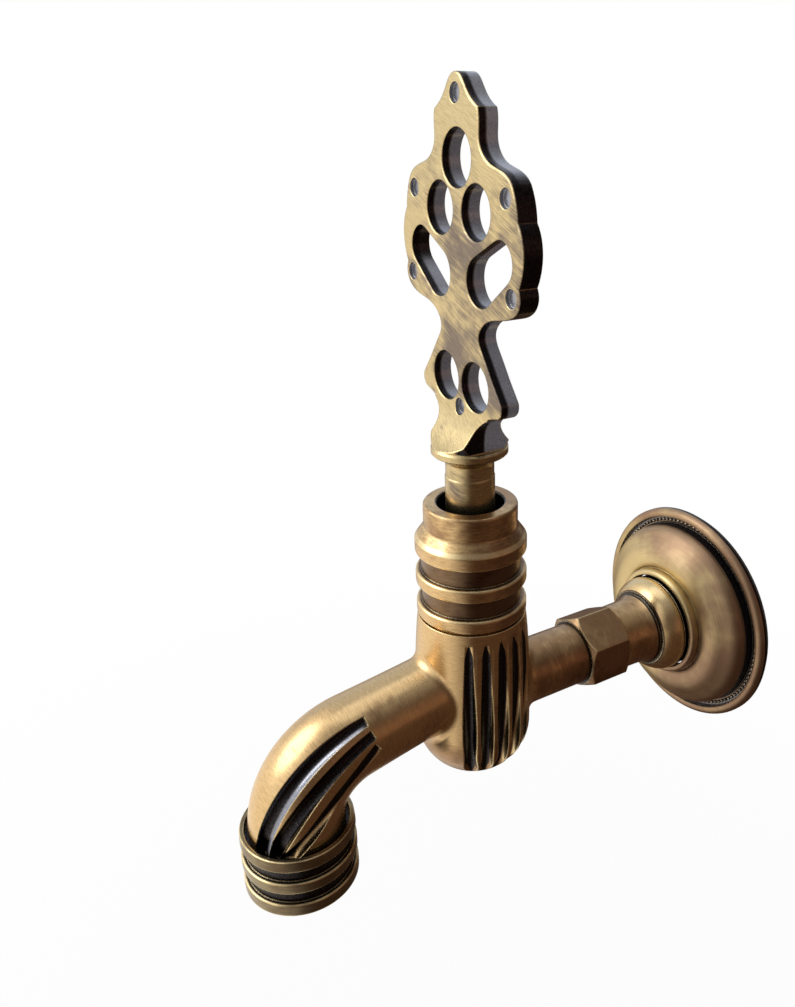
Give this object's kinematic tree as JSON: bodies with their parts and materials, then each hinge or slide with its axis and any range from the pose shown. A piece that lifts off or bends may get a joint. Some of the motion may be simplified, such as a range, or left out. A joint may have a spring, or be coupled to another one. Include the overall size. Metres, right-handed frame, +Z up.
{
  "type": "hammam basin tap",
  "caption": "Wall tap in antique brass: pierced flat handle, ribbed bonnet, gouged barrel, falling bent spout with ribbed outlet collar, hexagon adapter and domed wall rosette.",
  "frame": {"origin": "on the inlet axis, in the face of the wall that the rosette's gasket lies on", "axes": "+X to the right of someone who faces the wall, +Y into the wall along the inlet pipe, +Z up along the handle's axis"},
  "size_m": [0.08, 0.188, 0.2292],
  "materials": {
    "body_brass": "antique, brushed by hand",
    "bonnet_brass": "antique, turned",
    "handle_brass": "antique, cast and brushed",
    "collar_brass": "antique, turned",
    "adapter_brass": "antique, turned",
    "rosette_brass": "antique, turned",
    "tail_brass": "as turned",
    "inner_brass": "as turned",
    "aerator_brass": "turned",
    "mesh_steel": "woven wire",
    "steel": "blackened",
    "rubber": "moulded",
    "fibre": "pressed fibre",
    "foam": "closed cell",
    "ceramic": "ground ceramic",
    "plastic": "moulded"
  },
  "bodies": {
    "base": {"tap_body": "body_brass", "bonnet": "bonnet_brass", "headwork_body": "inner_brass", "headwork_washer": "fibre", "seat_seal": "rubber", "fixed_disc": "ceramic", "outlet_collar": "collar_brass", "outlet_gasket": "rubber", "aerator_housing": "aerator_brass", "aerator_straightener": "plastic", "aerator_mesh": "mesh_steel", "inlet_adapter": "adapter_brass", "adapter_gasket": "fibre", "inlet_tail": "tail_brass"},
    "handle": {"handle": "handle_brass", "handle_grub_screw": "steel", "spindle": "inner_brass", "spindle_o_ring_lower": "rubber", "spindle_o_ring_upper": "rubber", "slide_washer": "plastic", "spindle_circlip": "steel", "moving_disc": "ceramic"},
    "rosette": {"rosette": "rosette_brass", "rosette_gasket": "foam"}
  },
  "joints": [
    {"name": "handle_turn", "type": "hinge", "parent": "base", "child": "handle", "pos_m": [0, -0.096, 0], "axis": [0, 0, 1], "range_deg": [0, 90]},
    {"name": "rosette_slide", "type": "slide", "parent": "base", "child": "rosette", "axis": [0, -1, 0], "range_m": [0, 0.057]}
  ]
}
